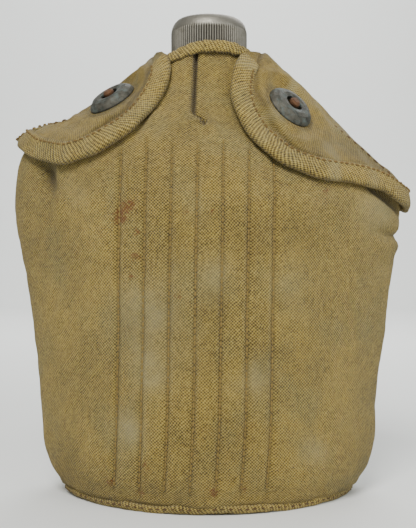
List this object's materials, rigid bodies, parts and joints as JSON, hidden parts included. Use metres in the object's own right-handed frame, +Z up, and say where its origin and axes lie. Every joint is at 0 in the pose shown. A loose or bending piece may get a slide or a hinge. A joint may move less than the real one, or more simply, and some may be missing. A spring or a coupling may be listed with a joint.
{
  "type": "canteen",
  "caption": "Kidney-shaped aluminium water bottle with a ribbed screw cap in a felt-lined canvas cover, with two snap-fastened shoulder flaps and a wire belt hook.",
  "frame": {"origin": "on the neck's axis, in the plane of the base", "axes": "+Z up along the neck, -Y towards the bulging front that carries the snaps, +Y towards the wearer and the belt hook, +X to the right in the front view, where the shoulder is lower"},
  "size_m": [0.1671, 0.0859, 0.1983],
  "materials": {
    "canvas": "khaki cotton duck, worn and stained",
    "tape": "coarse khaki cotton tape",
    "felt": "grey wool felt",
    "webbing": "khaki cotton webbing",
    "bottle_aluminium": "dull spun aluminium",
    "cap_aluminium": "oxidised aluminium, darker between the ribs",
    "rivet_aluminium": "oxidised aluminium",
    "cork": "pressed cork",
    "plate_steel": "dull plated steel",
    "snap_brass": "blackened brass with a grey-green bloom",
    "spring_wire": "dull spring wire",
    "stud_steel": "rusty steel",
    "hook_wire": "blackened steel wire"
  },
  "bodies": {
    "cover": {"front_panel": "canvas", "back_panel": "canvas", "bottom_panel": "canvas", "front_lining": "felt", "back_lining": "felt", "bottom_lining": "felt", "bottom_binding": "tape", "front_neck_binding": "tape", "back_neck_binding": "tape", "hanger_strap": "webbing", "bottle_shell": "bottle_aluminium", "bottle_neck": "bottle_aluminium", "left_stud": "stud_steel", "right_stud": "stud_steel", "left_stud_washer": "plate_steel", "right_stud_washer": "plate_steel"},
    "left_flap_body": {"left_flap": "canvas", "left_flap_binding": "tape", "left_snap_socket": "snap_brass", "left_snap_spring": "spring_wire", "left_snap_plate": "plate_steel"},
    "right_flap_body": {"right_flap": "canvas", "right_flap_binding": "tape", "right_snap_socket": "snap_brass", "right_snap_spring": "spring_wire", "right_snap_plate": "plate_steel"},
    "cap_core": {"cap_rivet": "rivet_aluminium", "cap_plate": "plate_steel", "cap_seal": "cork"},
    "cap": {"cap_shell": "cap_aluminium"},
    "hook": {"belt_hook": "hook_wire"}
  },
  "joints": [
    {"name": "left_flap_fold", "type": "hinge", "parent": "cover", "child": "left_flap_body", "pos_m": [-0.079, 0.015, 0.149], "axis": [-0.8762, 0, -0.4819], "range_deg": [0, 120]},
    {"name": "right_flap_fold", "type": "hinge", "parent": "cover", "child": "right_flap_body", "pos_m": [0.082, 0.015, 0.123], "axis": [-0.7217, 0, 0.6922], "range_deg": [0, 120]},
    {"name": "cap_rise", "type": "slide", "parent": "cover", "child": "cap_core", "axis": [0, 0, 1], "range_m": [0, 0.024]},
    {"name": "cap_turn", "type": "hinge", "parent": "cap_core", "child": "cap", "pos_m": [0, 0, 0.19], "axis": [0, 0, 1], "range_deg": [0, 2160]},
    {"name": "hook_swing", "type": "hinge", "parent": "cover", "child": "hook", "pos_m": [0, 0.0263, 0.112], "axis": [-1, 0, 0], "range_deg": [0, 100]}
  ],
  "couplings": [
    {"joint": "cap_rise", "follows": "cap_turn", "m_per_rad": 0.00063662}
  ]
}
